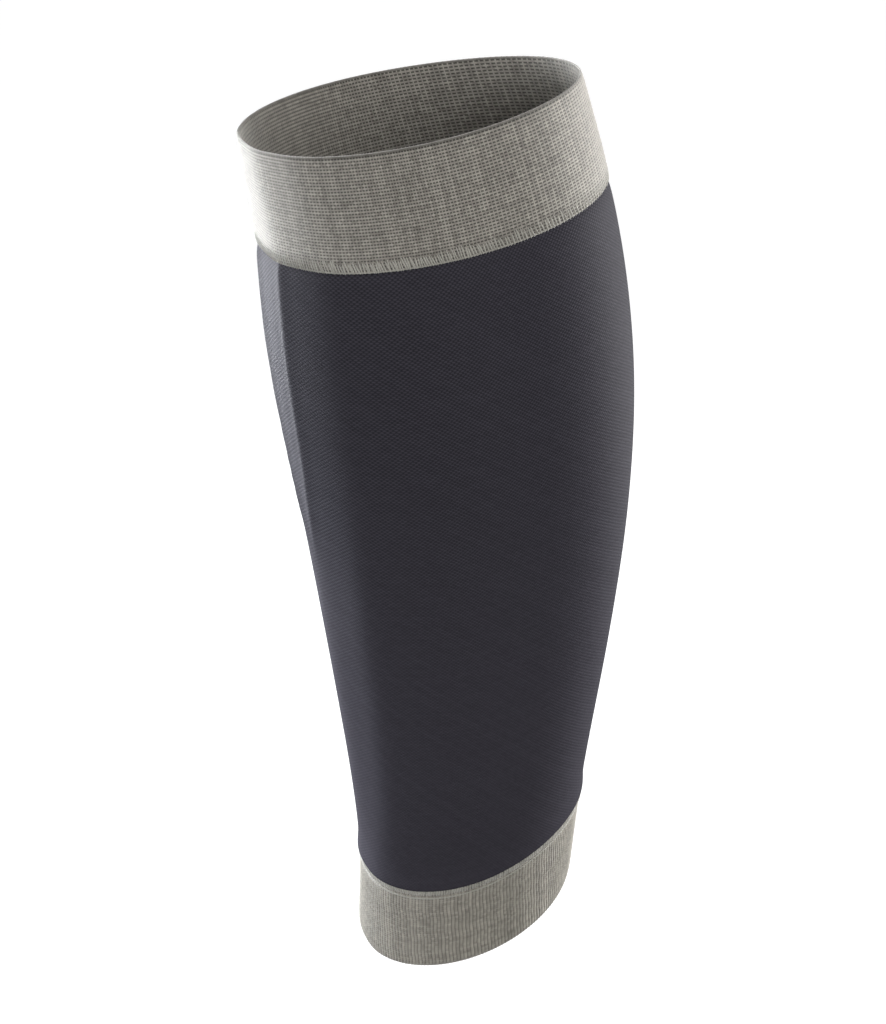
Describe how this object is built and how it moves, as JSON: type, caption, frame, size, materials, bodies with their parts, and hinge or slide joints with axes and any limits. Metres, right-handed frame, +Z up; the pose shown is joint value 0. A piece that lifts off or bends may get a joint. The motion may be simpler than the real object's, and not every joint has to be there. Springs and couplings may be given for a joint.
{
  "type": "calf compression sleeve",
  "caption": "Knitted open tube shaped to a calf, with a deep coarse-knit cuff at the knee end and a ribbed, slanting cuff at the ankle end.",
  "frame": {"origin": "on the axis of the leg that wears it, at the middle of the ankle opening", "axes": "+Z up the leg towards the knee, -Y the shin, +Y the calf, +X one side of the leg; the two sides are alike"},
  "size_m": [0.1136, 0.1214, 0.3156],
  "materials": {
    "cuff_knit": "matte elastic knit, taupe grey",
    "tube_knit": "matte fine elastic knit, dark navy charcoal"
  },
  "bodies": {
    "root": {"knee_cuff": "cuff_knit", "calf_tube": "tube_knit", "ankle_cuff": "cuff_knit"}
  },
  "joints": []
}
